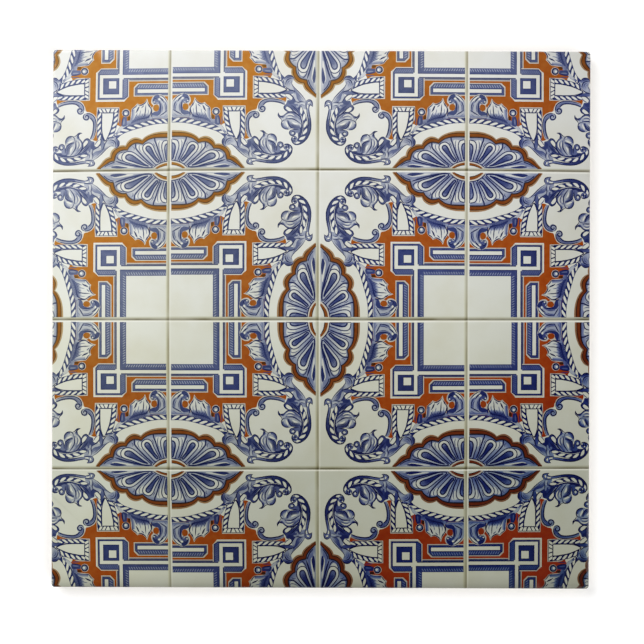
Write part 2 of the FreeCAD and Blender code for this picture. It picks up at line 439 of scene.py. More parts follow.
shade([(EDGE, 26.7), (3.1, 26.7), (5.7, 27.0), (8.1, 27.6), (10.4, 28.3), (12.5, 28.9), (14.3, 29.2)],
      [(EDGE, 25.3), (3.1, 25.9), (5.5, 25.9), (7.7, 26.1), (9.9, 26.4), (11.3, 26.9), (13.7, 27.7)],
      (0.62, 0.02), (0.3, 0))
fill([(5.7, 26.9), (7.3, 26.7), (9.1, 26.9), (10.7, 27.6), (11.9, 28.1), (11.3, 26.6), (9.7, 26.1),
      (7.7, 25.9), (6.1, 25.7)], HALF, PALE, (-0.6, -1))
rope([(0.5, 27.45), (2.5, 27.45), (4.4, 27.6), (6.4, 27.95), (8.3, 28.45), (10.3, 29.0), (12.1, 29.55),
      (13.7, 30.15), (15.1, 31.0), (16.1, 32.0)], 1.5, 1.98, -0.72, 0.35)
shade([(11.5, 28.3), (12.9, 29.0), (14.1, 29.7), (15.0, 30.6), (15.6, 31.3)],
      [(12.7, 28.2), (13.9, 28.6), (14.9, 29.2), (15.5, 30.1), (16.0, 31.1)], DEEP, HALF)
streaks([(12.1, 28.4), (13.3, 29.1), (14.5, 30.1), (15.3, 31.1)],
        [(13.5, 28.4), (14.5, 28.9), (15.3, 29.9), (15.8, 30.9)], 4, 0.22, TINT)
leaf_halo = [
    (11.0, 27.5), (9.5, 26.9), (7.7, 26.6), (6.3, 26.1), (5.8, 25.2), (5.6, 24.2), (6.0, 23.3),
    (6.6, 22.5), (7.1, 21.0), (7.1, 21.0), (7.6, 21.9), (8.4, 22.5), (9.1, 22.7), (9.9, 22.4),
    (9.9, 22.4), (10.5, 23.1), (11.4, 23.9), (11.6, 24.9), (11.7, 26.1), (11.7, 27.3),
]
leaf = [
    (11.0, 27.5), (9.5, 26.9), (7.7, 26.6), (6.5, 26.1), (6.05, 25.2), (5.85, 24.2), (6.25, 23.4),
    (6.85, 22.6), (7.2, 21.5), (7.2, 21.5), (7.6, 22.2), (8.4, 22.75), (9.1, 22.95), (9.8, 22.7),
    (9.8, 22.7), (10.3, 23.3), (11.2, 24.0), (11.4, 24.9), (11.5, 26.1), (11.7, 27.3),
]
fill(leaf_halo, HALO)
fill(leaf, (0.03, 0))
shade([(6.4, 26.6), (8.1, 26.9), (10.1, 27.5), (11.7, 28.2)],
      [(6.2, 25.2), (7.7, 25.1), (9.5, 25.3), (11.0, 25.7)], (0.9, 0), (0.03, 0))
shade([(11.8, 27.5), (11.5, 26.1), (11.4, 24.9), (11.2, 24.1)],
      [(10.4, 26.7), (10.4, 25.9), (10.4, 24.9), (10.4, 24.1)], (0.6, 0), (0.03, 0))
streaks([(7.3, 27.2), (6.7, 26.4), (6.4, 25.6)], [(11.5, 28.2), (10.7, 26.6), (10.0, 25.0)], 9, 0.24,
        (0.85, 0))
for points, width, ink in (
    (leaf[:9], 0.28, LINE), (leaf[9:14], 0.32, LINE), (leaf[14:18], 0.26, LINE),
    ([(8.4, 26.7), (7.8, 25.8), (7.55, 24.7), (7.5, 23.7), (7.4, 22.7)], 0.28, LINE),
    ([(10.3, 25.1), (9.85, 24.4), (9.6, 23.8), (9.25, 23.2)], 0.42, LINE),
    ([(6.25, 23.5), (6.5, 23.1), (6.8, 22.5)], 0.36, LINE),
    ([(7.0, 25.9), (6.7, 25.0), (6.7, 24.1)], 0.22, HALF),
    ([(9.4, 26.1), (9.0, 25.1), (8.9, 24.3)], 0.22, HALF),
    ([(8.7, 23.7), (8.3, 23.3), (7.9, 22.9)], 0.26, DEEP),
):
    stroke(points, width, ink)
fill([(11.8, 27.0), (12.2, 27.3), (12.6, 26.9), (12.5, 26.3), (12.1, 26.0), (11.8, 26.3)], (0.4, 0.9))
fill([(12.8, 28.6), (13.9, 29.0), (14.3, 28.4), (14.05, 27.3), (13.8, 26.2), (13.1, 26.2), (13.05, 27.2)],
     (0.8, 0))
fill([(13.5, 28.3), (13.85, 28.4), (13.8, 27.4), (13.6, 26.7), (13.45, 27.3)], (0.45, 0))
stroke([(12.8, 28.7), (13.0, 27.3), (12.9, 26.2)], 0.42, DEEP)
stroke([(14.3, 28.9), (14.15, 27.5), (13.85, 26.2)], 0.3, LINE)
stroke([(14.75, 28.8), (14.8, 27.6), (14.8, 26.4)], 0.26, DEEP)
for centre, radius, ink in (
    ((13.1, 25.05), 1.18, HALO), ((13.1, 25.1), 1.06, (1.0, 0.1)), ((13.1, 25.15), 0.62, PALE),
    ((13.15, 25.3), 0.34, WHITE),
):
    ball(centre, radius, ink)
fill([(EDGE, 26.5), (2.3, 26.7), (4.1, 26.6), (5.8, 26.3), (5.9, 25.3), (5.7, 24.1), (5.3, 23.1),
      (5.9, 22.3), (5.8, 21.1), (5.1, 20.2), (3.7, 19.8), (2.7, 20.1), (1.6, 20.9), (EDGE, 21.9)], HALO)
fill([(EDGE, 26.5), (2.3, 26.6), (4.1, 26.5), (5.6, 26.2), (5.7, 25.4), (4.7, 24.9), (3.8, 24.6),
      (3.5, 23.7), (3.7, 22.7), (4.5, 22.8), (5.3, 22.5), (5.6, 21.8), (5.5, 20.9), (4.7, 20.1),
      (3.7, 19.9), (2.8, 20.3), (1.8, 21.2), (EDGE, 22.4)], (0.18, 0))
fill([(3.2, 25.3), (3.9, 25.9), (4.9, 26.3), (5.9, 26.2), (5.7, 25.3), (4.9, 24.8), (4.0, 24.6),
      (3.6, 23.7), (3.6, 22.7), (3.7, 21.9), (3.2, 22.5), (3.15, 23.9)], (0.8, 0))
fill([(3.8, 24.3), (4.4, 24.7), (5.1, 24.4), (5.35, 23.7), (5.1, 23.0), (4.4, 22.7), (3.8, 23.0),
      (3.65, 23.7)], (0.03, 0.95))
stroke([(5.3, 24.6), (5.6, 24.0), (5.4, 23.3)], 0.3, HALO)
shade([(EDGE, 26.5), (2.5, 26.6), (4.3, 26.5), (5.7, 26.2)],
      [(EDGE, 25.7), (2.5, 26.0), (4.1, 26.0), (5.5, 25.8)], HALF, PALE)
shade([(1.1, 24.9), (1.05, 23.7), (1.25, 22.6), (1.9, 21.6)],
      [(2.1, 24.9), (2.0, 23.9), (2.1, 22.9), (2.5, 22.3)], (0.6, 0), TINT)
shade([(3.3, 25.1), (3.2, 23.9), (3.3, 22.7), (3.5, 21.7)],
      [(2.4, 24.9), (2.5, 23.9), (2.7, 22.9), (3.0, 22.1)], (0.6, 0), TINT)
fill([(3.6, 22.3), (4.3, 22.7), (5.2, 22.5), (5.6, 21.7), (5.4, 20.9), (4.7, 20.2), (3.9, 20.0),
      (3.5, 20.6), (4.0, 21.3), (3.6, 21.7)], (0.6, 0))
fill([(3.6, 20.7), (4.3, 21.1), (5.1, 21.1), (5.3, 20.7), (4.7, 20.1), (3.8, 19.9)], (0.85, 0))
fill([(3.0, 21.2), (3.5, 21.45), (4.0, 21.2), (3.6, 20.9)], WHITE)
stroke([(4.0, 22.2), (4.6, 22.55), (5.2, 22.3)], 0.36, WHITE)
stroke([(1.5, 22.1), (2.1, 21.3), (2.9, 20.6), (3.4, 20.3)], 0.42, WHITE)
spiral((4.6, 21.6), 1.0, 130, -300, 0.35, 0.28)
ball((5.1, 22.0), 0.2, WHITE)
for points, width, ink in (
    ([(3.5, 26.0), (2.7, 25.5), (1.8, 25.0), (0.9, 24.4)], 0.32, LINE),
    ([(2.3, 26.4), (1.7, 25.9), (1.0, 25.5)], 0.22, HALF),
    ([(0.9, 22.2), (1.7, 21.2), (2.6, 20.5), (3.6, 20.0)], 0.28, LINE),
    ([(2.2, 22.3), (2.6, 21.6), (3.1, 21.1), (3.7, 20.7)], 0.4, LINE),
    ([(3.25, 25.3), (3.2, 23.9), (3.3, 22.7), (3.6, 21.7)], 0.28, LINE),
    ([(1.2, 24.5), (1.25, 23.3), (1.8, 22.2)], 0.24, LINE),
    ([(1.7, 24.7), (1.7, 23.6), (2.1, 22.6)], 0.2, DEEP),
    ([(2.7, 24.7), (2.7, 23.5), (3.0, 22.3)], 0.22, DEEP),
    ([(5.85, 26.2), (5.75, 25.1), (5.7, 24.1)], 0.28, LINE),
):
    stroke(points, width, ink)


# Tongue
# A white tapered panel that stands on the ochre beside the diagonal, with a rope along its foot and
# up each of its sides.
fill([(21.0, 32.9), (22.3, 32.8), (22.7, 32.1), (22.2, 30.9), (21.7, 29.7), (21.4, 29.7), (21.1, 31.3)],
     OCHRE)
fill([(15.0, 23.45), (15.0, 23.45), (21.4, 23.45), (21.4, 23.45), (21.5, 26.7), (21.4, 29.7),
      (21.1, 32.7), (18.8, 33.2), (17.4, 31.5), (16.4, 29.0), (15.2, 27.6), (15.0, 26.0)], HALO)
rope([(15.85, 24.3), (15.9, 25.9), (16.1, 27.6), (16.45, 29.2), (16.9, 30.7), (17.5, 32.0), (18.2, 32.9)],
     1.3, 1.62, -0.5, 0.1, 0.66)
rope([(20.65, 24.6), (20.7, 26.2), (20.7, 28.1), (20.7, 29.9), (20.7, 31.3), (20.5, 32.7)], 1.25, 1.62,
     -0.55, 0.3, 0.66)
paint([(15.1, 23.72), (21.15, 23.72), (21.15, 24.98), (15.1, 24.98)], LINE)
for foot_left, foot_right, head_left, head_right in (
    (15.25, 16.0, 15.85, 16.55), (16.3, 17.25, 16.8, 17.55), (17.6, 18.9, 17.95, 18.4),
    (19.2, 20.0, 18.7, 19.4), (20.3, 21.0, 19.75, 20.45),
):
    paint([(foot_left, 23.86), (foot_right, 23.86), (head_right, 24.86), (head_left, 24.86)], WHITE)
tongue = [
    (16.65, 25.0), (16.65, 25.0), (19.95, 25.0), (19.95, 25.0), (20.0, 27.2), (19.95, 29.7),
    (19.75, 31.1), (19.3, 32.4), (18.85, 33.0), (18.4, 32.3), (17.85, 31.1), (17.3, 29.6), (16.9, 27.7),
    (16.65, 26.1),
]
fill(tongue, WHITE)
stroke(tongue + tongue[:2], 0.28, LINE, (0, 0))


# Volute
# A thin band, painted in cobalt beside the tongue, that winds into a small volute at the diagonal.
# Fine brush lines along it shade its inner side.
band_left = [
    (22.5, 32.6), (22.0, 31.3), (21.65, 29.7), (21.55, 28.1), (21.75, 27.0), (22.15, 26.1), (22.8, 25.45),
    (23.6, 25.15), (24.4, 25.15),
]
band_right = [
    (23.3, 32.5), (22.75, 31.4), (22.4, 29.9), (22.3, 28.5), (22.45, 27.5), (22.8, 26.9), (23.2, 26.55),
    (23.6, 26.3), (24.1, 25.9),
]
ribbon(smooth(np.array(band_left) - (0.3, 0.22)), smooth(band_left), HALO)
shade(band_left, band_right, TINT, (0.55, 0))
streaks(band_left[1:], band_right[1:], 3, 0.18, (0.6, 0))
stroke(band_left, 0.26, LINE, (0.2, 0))
stroke(band_right[:8], 0.34, LINE, (0.1, 0.2))
fill([(23.4, 26.3), (23.6, 26.9), (24.3, 27.2), (25.1, 26.8), (25.35, 26.1), (25.0, 25.4), (24.4, 25.15),
      (23.9, 25.6)], (0.2, 0))
fill([(22.9, 25.6), (23.4, 26.3), (24.0, 26.1), (24.5, 25.4), (23.7, 25.3)], HALF)
spiral((24.35, 26.15), 1.05, -95, 520, 0.2, 0.38)


# Acanthus scroll
# The large scroll that rises from the knot at the end of the rope: a stem, dark foliage, a back with
# its own rope, and a bud between two curls.
fill([(15.9, 34.9), (17.3, 34.5), (18.3, 35.1), (19.1, 35.9), (20.1, 36.9), (21.2, 37.8), (22.3, 38.5),
      (24.5, 38.7), (24.3, 36.9), (23.5, 36.1), (22.3, 35.7), (20.9, 34.7), (19.7, 35.1), (19.1, 34.1),
      (18.5, 33.1), (17.5, 32.1), (16.5, 31.9), (15.7, 32.3)], (0.18, 0))
shade([(19.5, 35.3), (20.5, 35.7), (21.5, 35.9), (22.3, 36.5)],
      [(19.3, 35.7), (20.3, 36.7), (21.3, 37.3), (22.3, 38.1)], (0.6, 0), TINT)
streaks([(18.3, 34.7), (19.5, 35.9), (20.9, 37.1), (22.1, 37.9)],
        [(19.5, 35.3), (20.5, 35.7), (21.5, 36.0), (22.3, 36.6)], 5, 0.2, (0.62, 0))
fill([(16.0, 35.0), (15.3, 34.7), (15.0, 33.9), (15.1, 33.1), (15.7, 32.3), (16.3, 32.4), (16.1, 33.3),
      (15.95, 34.1)], DEEP, PALE, (1, 0.2))
fill([(16.1, 34.6), (16.05, 33.9), (16.4, 33.2), (17.1, 32.9), (17.9, 33.0), (18.5, 33.6), (18.6, 34.3),
      (17.7, 34.4)], (0.4, 0), TINT, (0.5, 1))
fill([(16.2, 32.1), (17.5, 32.6), (17.6, 32.0), (16.5, 31.8)], HALF)
for points, width, ink in (
    ([(16.2, 35.3), (15.3, 34.7), (14.95, 33.9), (15.1, 33.0), (15.9, 32.2)], 0.36, LINE),
    ([(16.0, 34.9), (15.9, 33.9), (16.3, 33.1), (17.1, 32.75), (18.1, 32.8)], 0.3, LINE),
    ([(15.45, 34.4), (15.4, 33.6), (15.7, 32.9)], 0.2, LINE),
    ([(16.4, 34.2), (16.7, 33.5), (17.6, 33.3)], 0.2, DEEP),
    ([(16.7, 34.4), (17.1, 33.9), (18.0, 33.7)], 0.16, HALF),
    ([(16.2, 32.0), (17.1, 31.95), (17.9, 32.0)], 0.28, LINE),
    ([(16.3, 34.45), (17.3, 34.45), (18.3, 35.05), (19.1, 35.85), (20.1, 36.85), (21.2, 37.8),
      (22.3, 38.45)], 0.26, LINE),
):
    stroke(points, width, ink)
fill([(19.1, 33.9), (19.4, 35.0), (20.0, 35.1), (20.3, 34.1), (20.25, 33.0), (20.3, 32.1), (20.0, 31.3),
      (19.6, 32.3)], (0.82, 0), HALF, (0, 1))
fill([(20.3, 32.9), (20.5, 33.9), (21.1, 34.4), (21.9, 34.2), (21.7, 33.4), (21.1, 32.8)], WHITE)
fill([(21.3, 34.8), (22.1, 35.6), (22.9, 36.0), (23.7, 36.4), (24.5, 36.7), (25.5, 36.9), (26.5, 36.9),
      (26.0, 35.9), (25.4, 35.0), (25.4, 33.7), (24.8, 32.7), (23.9, 32.3), (23.0, 32.9), (22.0, 33.3),
      (22.0, 34.3)], (0.68, 0))
fill([(21.8, 35.1), (22.5, 35.4), (23.1, 34.7), (23.0, 33.7), (22.2, 33.4), (22.0, 34.3)], (0.85, 0))
fill([(22.5, 38.3), (22.5, 37.1), (22.7, 36.2), (23.5, 36.5), (24.3, 36.9), (24.1, 37.7), (24.7, 38.5),
      (23.5, 38.6)], PALE)
for points, ink in (
    ([(22.6, 35.6), (22.7, 36.3), (23.05, 36.4), (23.1, 35.7), (22.85, 35.2)], (0.24, 0)),
    ([(23.5, 35.9), (23.8, 36.5), (24.2, 36.3), (23.9, 35.7)], (0.3, 0)),
    ([(24.5, 34.7), (25.3, 35.7), (25.9, 36.3), (25.7, 35.6), (25.2, 34.8), (24.8, 34.3)], TINT),
    ([(23.8, 33.2), (24.3, 34.1), (25.0, 34.6), (25.15, 33.8), (24.7, 33.1), (24.2, 32.8)], WHITE),
    ([(22.8, 38.1), (22.8, 37.1), (23.1, 36.7), (23.2, 37.5), (23.4, 38.1)], TINT),
):
    fill(points, ink)
streaks([(23.1, 34.1), (23.9, 35.1), (24.9, 36.1)], [(24.1, 34.0), (24.8, 35.0), (25.7, 36.0)], 4, 0.18,
        (0.86, 0))
for points, width, ink in (
    ([(17.7, 32.2), (18.5, 33.1), (19.1, 34.0), (19.25, 34.7), (19.6, 35.3), (20.2, 35.2)], 0.34, LINE),
    ([(19.0, 33.3), (19.5, 32.5), (19.9, 31.5), (20.1, 30.7)], 0.3, LINE),
    ([(20.15, 32.3), (20.2, 33.7), (20.8, 34.55), (21.6, 35.1), (22.3, 35.6)], 0.36, LINE),
    ([(22.0, 34.3), (21.4, 33.3), (20.7, 32.7)], 0.24, DEEP),
    ([(22.5, 38.1), (22.4, 37.1), (22.6, 36.3), (22.3, 35.5)], 0.28, LINE),
    ([(23.5, 38.1), (23.3, 37.3), (23.7, 36.6), (24.5, 36.6)], 0.26, DEEP),
    ([(23.0, 33.0), (23.9, 32.3), (24.8, 32.7), (25.4, 33.6)], 0.36, LINE),
    ([(23.6, 33.0), (24.2, 34.1), (25.1, 35.0), (25.9, 36.0), (26.7, 36.7)], 0.32, LINE),
    ([(23.3, 34.3), (24.0, 35.2), (25.0, 36.1), (25.9, 36.6)], 0.26, LINE),
):
    stroke(points, width, ink)
fill([(22.2, 38.6), (21.9, 39.3), (22.1, 40.0), (22.9, 40.3), (23.8, 40.4), (23.8, 40.4), (23.4, 40.0),
      (23.4, 39.6), (23.9, 39.3), (24.9, 39.2), (24.5, 38.6), (23.1, 38.5)], (0.36, 0))
fill([(22.5, 39.5), (22.9, 39.7), (23.0, 39.2), (22.7, 38.9)], WHITE)
fill([(23.3, 39.2), (24.0, 39.05), (24.9, 39.1), (24.2, 38.75), (23.4, 38.8)], WHITE)
for points, width, ink in (
    ([(22.3, 38.5), (21.9, 39.2), (22.1, 39.95), (22.9, 40.3), (23.9, 40.4)], 0.34, LINE),
    ([(23.8, 40.3), (23.35, 39.9), (23.6, 39.45), (24.5, 39.35)], 0.3, LINE),
    ([(22.1, 38.5), (23.3, 38.5), (24.5, 38.65), (25.3, 39.0)], 0.3, LINE),
    ([(22.4, 39.7), (22.4, 39.1), (22.9, 38.8)], 0.24, DEEP),
    ([(23.0, 40.0), (23.0, 39.5), (23.3, 39.1)], 0.2, HALF),
):
    stroke(points, width, ink)
scroll_back = [
    (24.3, 39.3), (25.7, 39.45), (27.3, 39.75), (28.8, 39.9), (30.3, 39.85), (31.7, 39.45), (33.0, 38.75),
    (33.9, 37.85), (34.5, 36.9), (34.75, 36.0),
]
scroll_under = [
    (24.3, 38.7), (25.6, 38.75), (27.1, 38.95), (28.6, 39.1), (29.8, 38.95), (31.0, 38.65), (32.1, 38.1),
    (32.9, 37.4), (33.5, 36.7), (33.8, 36.1),
]
shade(scroll_back[:3], scroll_under[:3], (0.6, 0), PALE)
shade(scroll_back[2:5], scroll_under[2:5], (0.85, 0), (0.4, 0))
shade(scroll_back[4:], scroll_under[4:], (1.0, 0), (0.75, 0))
streaks(scroll_back[2:7], scroll_under[2:7], 4, 0.2, (0.85, 0))
rope([(23.9, 36.6), (25.1, 37.25), (26.8, 38.0), (28.8, 38.35), (30.9, 38.3), (32.4, 37.8), (33.4, 36.95),
      (33.95, 36.1), (34.1, 35.4)], 1.25, 2.08, -0.5, 0.15)
stroke(scroll_back, 0.3, LINE, (0.1, 0.1))
stroke([(24.3, 38.65), (25.5, 38.75), (27.1, 39.05), (28.7, 39.2), (29.9, 39.0), (30.9, 38.9)], 0.28)
shade([(25.7, 36.8), (26.9, 37.2), (28.5, 37.6), (30.3, 37.65), (31.9, 37.3), (33.1, 36.6), (33.6, 35.7)],
      [(26.1, 36.1), (27.1, 36.3), (28.7, 36.6), (30.3, 36.4), (31.5, 36.3), (32.5, 36.2), (33.1, 35.7)],
      (0.95, 0), (0.7, 0))
streaks([(26.5, 36.9), (28.5, 37.4), (30.5, 37.5), (32.1, 37.0), (33.3, 36.1)],
        [(27.3, 36.4), (28.9, 36.7), (30.4, 36.5), (31.5, 36.4), (32.7, 36.1)], 3, 0.2, LINE)
fill([(27.5, 36.9), (26.7, 36.6), (26.0, 35.9), (25.5, 35.0), (25.3, 34.1), (25.55, 33.3), (26.2, 32.5),
      (26.7, 31.7), (27.5, 31.8), (28.3, 31.6), (29.4, 31.7), (30.1, 32.5), (30.3, 33.4), (30.05, 34.7),
      (30.1, 36.1), (29.8, 37.0), (28.7, 37.2)], (0.16, 0))
shade([(27.5, 37.1), (26.7, 36.3), (26.0, 35.5), (25.5, 34.5), (25.4, 33.6), (25.9, 32.7), (26.7, 31.8)],
      [(28.1, 36.7), (27.5, 35.9), (26.8, 35.1), (26.3, 34.3), (26.2, 33.6), (26.5, 32.9), (27.0, 32.3)],
      (0.62, 0), TINT)
shade([(28.8, 37.0), (28.2, 36.2), (27.6, 35.4), (27.3, 34.5), (27.35, 33.6), (27.4, 32.7)],
      [(28.3, 37.0), (27.4, 36.0), (26.9, 35.2), (26.6, 34.4), (26.6, 33.6), (26.8, 32.8)], (0.62, 0),
      TINT)
shade([(29.9, 37.0), (30.1, 35.9), (30.05, 34.9), (29.6, 34.2), (28.7, 33.7), (27.8, 33.4)],
      [(29.0, 36.7), (29.0, 35.7), (28.7, 34.9), (28.4, 34.5), (28.0, 34.1), (27.6, 33.7)], (0.85, 0),
      TINT)
streaks([(29.7, 36.7), (29.8, 35.5), (29.5, 34.6), (28.5, 33.9)],
        [(29.0, 36.7), (29.0, 35.7), (28.8, 34.9), (28.1, 34.2)], 3, 0.18, LINE)
streaks([(26.7, 36.1), (25.9, 34.9), (25.7, 33.7), (26.3, 32.7)],
        [(27.5, 35.9), (26.8, 34.9), (26.5, 33.9), (26.8, 32.9)], 3, 0.2, (0.8, 0))
fill([(27.7, 33.1), (28.6, 33.45), (29.5, 33.8), (30.1, 33.4), (30.0, 32.6), (29.4, 31.9), (28.6, 31.7),
      (27.9, 32.0), (27.6, 32.6)], (0.3, 0), (0.0, 0), (0.5, -1))
shade([(30.2, 33.6), (30.1, 32.7), (29.5, 31.9), (28.6, 31.65)],
      [(29.4, 33.4), (29.2, 32.9), (28.9, 32.5), (28.4, 32.3)], (0.75, 0), TINT)
for points, width in (
    ([(26.5, 35.3), (26.05, 34.5), (26.0, 33.6), (26.4, 32.8)], 0.34),
    ([(28.1, 34.6), (28.6, 35.3), (28.75, 36.2)], 0.4),
    ([(27.9, 32.8), (28.5, 32.95), (29.2, 33.3), (29.8, 33.4)], 0.46),
    ([(27.0, 34.9), (26.9, 34.0), (27.05, 33.1)], 0.22),
):
    stroke(points, width, WHITE)
fill([(26.3, 32.5), (26.9, 32.3), (27.1, 31.7), (26.6, 31.1), (26.4, 31.6)], (0.6, 0))
for points, width in (
    ([(27.5, 37.2), (26.7, 36.6), (26.0, 35.9), (25.5, 35.0), (25.3, 34.1), (25.6, 33.2), (26.2, 32.4),
      (26.7, 31.8)], 0.34),
    ([(28.9, 37.2), (28.2, 36.3), (27.6, 35.4), (27.3, 34.5), (27.35, 33.6), (27.3, 32.8)], 0.3),
    ([(27.6, 33.25), (28.4, 33.5), (29.3, 33.9), (29.9, 34.5), (30.1, 35.5)], 0.34),
    ([(27.6, 33.3), (27.6, 32.5), (28.0, 31.8), (28.7, 31.6), (29.5, 31.8), (30.1, 32.5), (30.3, 33.4),
      (30.1, 34.3)], 0.3),
    ([(26.1, 32.5), (26.6, 31.9), (26.65, 31.4), (26.2, 30.9), (25.5, 30.7)], 0.34),
    ([(28.0, 31.7), (27.3, 31.5), (26.8, 31.0), (26.3, 30.65), (25.6, 30.65)], 0.3),
):
    stroke(points, width)
fill([(30.0, 36.7), (30.7, 36.9), (31.5, 36.4), (32.0, 35.5), (32.1, 34.6), (31.6, 33.8), (30.9, 33.8),
      (30.4, 34.5), (30.2, 35.5)], (0.5, 0))
fill([(31.2, 36.0), (32.0, 36.3), (33.0, 36.2), (32.6, 35.6), (32.2, 35.2), (31.9, 35.5)], WHITE)
fill([(31.1, 35.05), (31.4, 35.2), (31.7, 34.8), (31.4, 34.4), (31.1, 34.65)], (0.05, 0))
spiral((31.35, 34.75), 1.02, 175, 430, 0.35, 0.3)
stroke([(30.3, 36.5), (30.3, 35.3), (30.5, 34.5)], 0.3)
fill([(32.3, 35.7), (33.0, 36.2), (33.8, 36.0), (34.2, 35.3), (33.7, 34.65), (32.8, 34.35), (32.3, 34.9)],
     (0.5, 0))
spiral((33.1, 35.2), 0.92, 120, 480, 0.2, 0.3)
ball((32.95, 35.25), 0.24, LINE)
ball((32.6, 34.95), 0.18, WHITE)
ball((33.35, 35.7), 0.16, WHITE)
stroke([(34.75, 36.3), (34.6, 35.5), (34.0, 34.75), (33.1, 34.3)], 0.32)


# Margins
# Bare glaze along the joints, where the painting of each azulejo stops short of its edge. It is drawn
# last, as two white bars over the ends of the painting.
paint([(0, 0), (0.62, 0), (0.62, PITCH), (0, PITCH)], WHITE)
paint([(0, 41.42), (PITCH, 41.42), (PITCH, PITCH), (0, PITCH)], WHITE)


# Printed glaze
# The picture is fired into the glaze of the whole face and runs over the arris, cut off by the tile's
# edges. It is one thin skin on the body, in four quarters that meet along the two middle printed joints.
SKIN = 0.02
ARRIS = 0.6
CORNER = 0.3
CORNER_CUTS = (22.5, 45, 67.5)
TUCK = 0.4
WELD = 0.002
WRAP_STEPS = 4
SHARP_EDGE = math.radians(50)
# Each printed joint: its place, its lean and its bow in mm, the last two at JOINT_REACH from the middle.
JOINT_REACH = 73.5
COLUMN_JOINTS = [
    (-84.8, 0.0, 0.7), (-43.2, 0.0, 0.62), (-0.9, 0.05, 0.17), (41.2, 0.17, 0.0), (83.0, 0.3, -0.2),
]
ROW_JOINTS = [
    (84.0, 0.0, -0.5), (42.3, 0.0, -0.45), (-0.08, 0.0, 0.0), (-42.28, 0.08, 0.08), (-84.0, 0.1, 0.1),
]
PRINT_TURN = math.radians(0.2)
# Each azulejo was painted a little off its place: how far to the right and up in mm, row by row.
OFF_PLACE = [
    [(0.6, -0.5), (0.0, -0.2), (0.25, -0.4), (-0.1, -0.5)],
    [(0.4, -0.1), (0.1, 0.2), (0.3, 0.0), (0.1, -0.2)],
    [(0.4, 0.0), (0.2, -0.1), (0.3, -0.4), (0.3, -0.2)],
    [(0.6, 0.7), (-0.2, 0.1), (-0.1, 0.1), (-0.2, 0.4)],
]
# The shift grows from nothing at the joints, over one reach on its way and another beside it.
SQUEEZE_REACH = 2.5
SHEAR_REACH = 0.58


def partition(shapes):
    """Cuts half an azulejo into triangles that each show one shape, the last of those that cover it."""
    same_point = 1e-4
    flat_ink = 1e-6
    flat_angle = 0.02
    points = []
    faces = []
    for outline, _, _ in shapes:
        spread = np.round(outline, 2)
        after = np.roll(spread, -1, axis=0)
        area = np.sum(spread[:, 0] * after[:, 1] - after[:, 0] * spread[:, 1])
        faces.append(list(range(len(points), len(points) + len(spread))))
        points += [tuple(p) for p in (spread if area > 0 else spread[::-1])]
    points, _, triangles, _, _, covered_by = delaunay_2d_cdt(points, [], faces, 1, same_point, True)
    net = bmesh.new()
    corners = [net.verts.new((*p, 0)) for p in points]
    shown = net.faces.layers.int.new("shape")
    kinds = {}
    for triangle, covers in zip(triangles, covered_by):
        if 0 not in covers:
            continue
        face = net.faces.new([corners[k] for k in triangle])
        face[shown] = max(covers)
        blend = shapes[max(covers)][2]
        flat = np.abs(blend[1:]).max() < flat_ink
        kind = tuple(np.round(blend[0], 3)) if flat else max(covers)
        face.material_index = kinds.setdefault(kind, len(kinds))
    bmesh.ops.dissolve_limit(
        net, angle_limit=flat_angle, verts=net.verts, edges=net.edges, delimit={"MATERIAL"}
    )
    bmesh.ops.triangulate(net, faces=net.faces)
    bmesh.ops.delete(net, geom=[v for v in net.verts if not v.link_faces], context="VERTS")
    places = np.array([[v.co[:2] for v in face.verts] for face in net.faces])
    inks = []
    for face, corners in zip(net.faces, places):
        _, middle, blend = shapes[face[shown]]
        inks.append(blend[0] + (corners - middle) @ blend[1:])
    net.free()
    return places, np.maximum(inks, 0)


def joint_line(joint, along):
    """Where a printed joint lies across its run, at places along it."""
    place, lean, bow = joint
    return place + lean * along / JOINT_REACH + bow * (along / JOINT_REACH) ** 2


def lay(row, column):
    """One azulejo of the print: for each corner its place, its inks and its reach to the four joints."""
    left, right = COLUMN_JOINTS[column:column + 2]
    top, bottom = ROW_JOINTS[row:row + 2]
    off_x, off_y = OFF_PLACE[row][column]
    flip_x = column % 2 == 0
    flip_y = row % 2 == 1
    laid = []
    for mirrored in (False, True):
        across, down = (half_places / PITCH).transpose(2, 0, 1)[::-1 if mirrored else 1]
        across = 1 - across if flip_x else across
        down = 1 - down if flip_y else down
        flat_x = left[0] + across * (right[0] - left[0])
        flat_y = top[0] + down * (bottom[0] - top[0])
        x = joint_line(left, flat_y) * (1 - across) + joint_line(right, flat_y) * across
        y = joint_line(top, flat_x) * (1 - down) + joint_line(bottom, flat_x) * down
        inset_x = np.minimum(across, 1 - across) * PITCH
        inset_y = np.minimum(down, 1 - down) * PITCH
        x += off_x * np.minimum(inset_x / SQUEEZE_REACH, 1) * np.minimum(inset_y / SHEAR_REACH, 1)
        y += off_y * np.minimum(inset_y / SQUEEZE_REACH, 1) * np.minimum(inset_x / SHEAR_REACH, 1)
        corners = np.dstack([
            x - y * PRINT_TURN, y + x * PRINT_TURN, half_inks,
            across * PITCH, (1 - across) * PITCH, down * PITCH, (1 - down) * PITCH,
        ])
        turned_over = (flip_x + (not flip_y) + mirrored) % 2
        laid.append(corners[:, ::-1] if turned_over else corners)
    return np.concatenate(laid)


